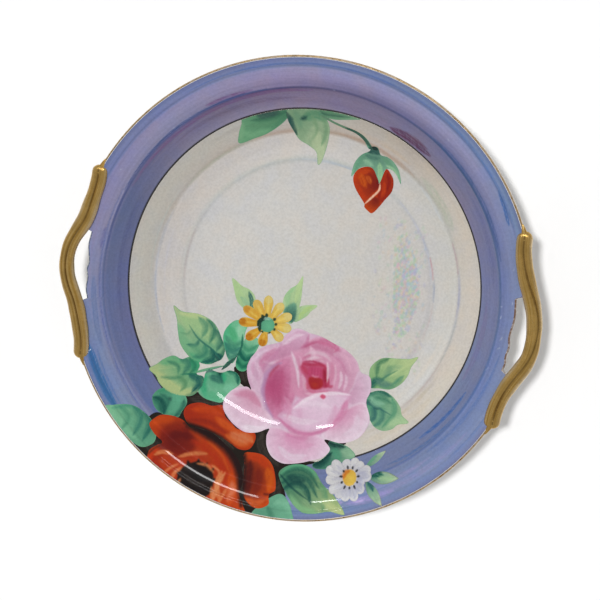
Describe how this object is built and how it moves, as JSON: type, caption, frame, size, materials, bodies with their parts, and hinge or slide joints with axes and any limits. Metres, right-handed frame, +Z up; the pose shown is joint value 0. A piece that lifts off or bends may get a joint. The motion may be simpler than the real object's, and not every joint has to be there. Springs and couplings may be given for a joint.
{
  "type": "serving dish",
  "caption": "Round china serving dish with a foot ring, a deep well, two pierced rope handles, a lustre border, a gilded edge and painted garden flowers.",
  "frame": {"origin": "middle of the foot ring's resting plane, on the dish's own axis", "axes": "+Z up along the dish's axis, out of the well; +X towards the right-hand handle; -Y towards the side painted with the rose and the poppy"},
  "size_m": [0.2385, 0.2288, 0.038],
  "materials": {
    "white_porcelain": "clear gloss glaze over white porcelain, bare on the foot ring's resting edge",
    "gilded_porcelain": "worn bright gold over glazed porcelain",
    "gilt_line": "thin worn gold band over glaze",
    "pearl_lustre": "pearl lustre over gloss glaze, faintly iridescent",
    "blue_lustre": "lavender blue lustre, brushed on in rings, high gloss",
    "black_line": "fine black enamel line, gloss",
    "rose_enamel": "pink and lilac brushed enamel, gloss",
    "poppy_enamel": "orange red brushed enamel, gloss",
    "leaf_enamel": "green brushed enamel shaded from teal to yellow green, gloss",
    "yellow_enamel": "yellow and ochre brushed enamel, gloss",
    "white_enamel": "raised white enamel, gloss",
    "ground_enamel": "dark brown brushed enamel, gloss"
  },
  "bodies": {
    "root": {"plate_body": "white_porcelain", "handle_left": "gilded_porcelain", "handle_right": "gilded_porcelain", "gilt_edge_top": "gilt_line", "gilt_edge_bottom": "gilt_line", "well_lustre": "pearl_lustre", "border_lustre": "blue_lustre", "pinstripe": "black_line", "rose": "rose_enamel", "poppy": "poppy_enamel", "bud": "poppy_enamel", "bud_stem": "leaf_enamel", "top_leaves": "leaf_enamel", "yellow_daisy": "yellow_enamel", "yellow_daisy_leaves": "leaf_enamel", "white_daisy": "white_enamel", "right_leaves": "leaf_enamel", "left_leaves": "leaf_enamel", "lower_leaves": "leaf_enamel", "dark_ground": "ground_enamel"}
  },
  "joints": []
}
